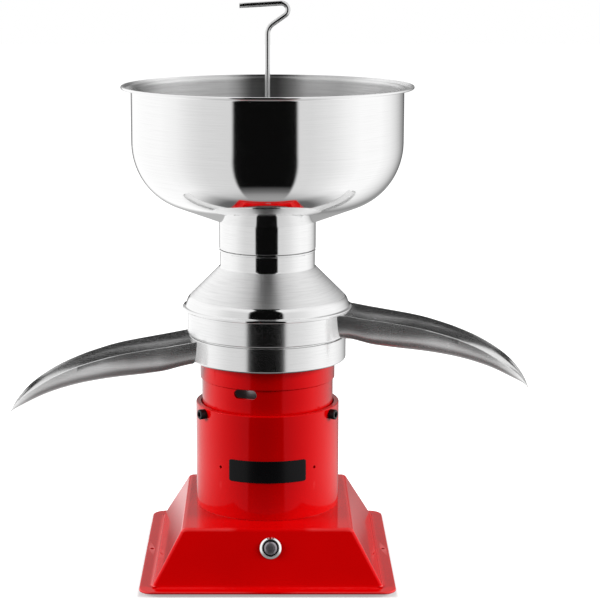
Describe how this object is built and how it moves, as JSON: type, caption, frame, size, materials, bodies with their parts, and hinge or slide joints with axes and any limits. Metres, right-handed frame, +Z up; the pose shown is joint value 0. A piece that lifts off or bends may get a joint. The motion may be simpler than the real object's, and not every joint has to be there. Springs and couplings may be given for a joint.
{
  "type": "cream separator",
  "caption": "Bench-top electric cream separator: sheet-steel base and column, disc drum, two swivelling receivers with spouts, float chamber, milk bowl and tap.",
  "frame": {"origin": "centre of the base footprint, at the underside of the rubber feet", "axes": "+Z up along the drum axis, -Y towards the switch on the front slope, +X to the right when facing the switch"},
  "size_m": [0.5232, 0.3328, 0.5621],
  "materials": {
    "red_paint": "gloss enamel",
    "zinc_plate": "zinc plated sheet",
    "black_rubber": "matte",
    "zinc_steel": "zinc plated",
    "black_plate": "satin blank plate",
    "black_oxide": "black oxide",
    "cast_aluminium": "as cast",
    "lamination_steel": "varnished laminations",
    "copper_wire": "enamelled copper",
    "bearing_steel": "ground",
    "brass": "turned",
    "carbon": "graphite",
    "chrome_ring": "polished",
    "white_nylon": "moulded",
    "lead_insulation": "moulded",
    "black_plastic": "moulded",
    "black_cord": "satin sheath",
    "drum_aluminium": "turned",
    "yellow_seal": "food-grade silicone",
    "button_metal": "turned cap",
    "polished_stainless": "mirror polished stainless",
    "satin_stainless": "brushed stainless",
    "bowl_stainless": "polished outside, spun marks inside",
    "wire_stainless": "drawn wire"
  },
  "bodies": {
    "stand": {"base_hood": "red_paint", "base_plate": "zinc_plate", "rubber_feet": "black_rubber", "foot_screws": "zinc_steel", "column": "red_paint", "column_bolts": "zinc_steel", "column_nuts": "zinc_steel", "name_plate": "black_plate", "motor_housing": "red_paint", "housing_screws": "black_oxide", "housing_bushes": "black_rubber", "motor_upper_shield": "cast_aluminium", "motor_lower_shield": "cast_aluminium", "stator_core": "lamination_steel", "field_windings": "copper_wire", "through_bolts": "zinc_steel", "motor_mount_screws": "zinc_steel", "motor_isolator": "black_rubber", "upper_bearing": "bearing_steel", "lower_bearing": "bearing_steel", "brush_holders": "brass", "brush_springs": "zinc_steel", "carbon_brushes": "carbon", "switch_body": "chrome_ring", "switch_nut": "zinc_steel", "terminal_block": "white_nylon", "wiring": "lead_insulation", "cord_gland": "black_plastic", "power_cord": "black_cord", "mains_plug": "black_plastic"},
    "rotor": {"motor_shaft": "bearing_steel", "armature_core": "lamination_steel", "armature_winding": "copper_wire", "commutator": "copper_wire", "cooling_fan": "black_plastic", "drum_base": "drum_aluminium", "disc_carrier": "drum_aluminium", "drum_discs": "drum_aluminium", "top_disc": "drum_aluminium", "drum_cover": "drum_aluminium", "drum_seal": "yellow_seal", "drum_nut": "drum_aluminium", "cream_screw": "brass"},
    "button": {"power_button": "button_metal"},
    "skim_receiver": {"skim_tray": "polished_stainless", "skim_spout": "satin_stainless"},
    "cream_receiver": {"cream_tray": "polished_stainless", "cream_spout": "satin_stainless"},
    "cover": {"receiver_cover": "polished_stainless", "float_chamber": "polished_stainless"},
    "float_body": {"float": "polished_stainless"},
    "bowl": {"milk_bowl": "bowl_stainless", "tap_seat": "satin_stainless"},
    "tap": {"tap_plug": "satin_stainless", "tap_handle": "wire_stainless"}
  },
  "joints": [
    {"name": "drum_spin", "type": "hinge", "parent": "stand", "child": "rotor", "pos_m": [0, 0, 0.17], "axis": [0, 0, 1], "continuous": true},
    {"name": "button_press", "type": "slide", "parent": "stand", "child": "button", "axis": [0, 0.908, -0.4191], "range_m": [0, 0.0022], "stiffness_N_per_m": 400},
    {"name": "skim_swivel", "type": "hinge", "parent": "stand", "child": "skim_receiver", "pos_m": [0, 0, 0.2072], "axis": [0, 0, 1], "continuous": true},
    {"name": "cream_swivel", "type": "hinge", "parent": "stand", "child": "cream_receiver", "pos_m": [0, 0, 0.2332], "axis": [0, 0, 1], "continuous": true},
    {"name": "cover_lift", "type": "slide", "parent": "stand", "child": "cover", "axis": [0, 0, 1], "range_m": [0, 0.06]},
    {"name": "float_rise", "type": "slide", "parent": "cover", "child": "float_body", "axis": [0, 0, 1], "range_m": [0, 0.009]},
    {"name": "bowl_lift", "type": "slide", "parent": "cover", "child": "bowl", "axis": [0, 0, 1], "range_m": [0, 0.06]},
    {"name": "tap_turn", "type": "hinge", "parent": "bowl", "child": "tap", "pos_m": [0, 0, 0.343], "axis": [0, 0, 1], "range_deg": [0, 90]}
  ]
}
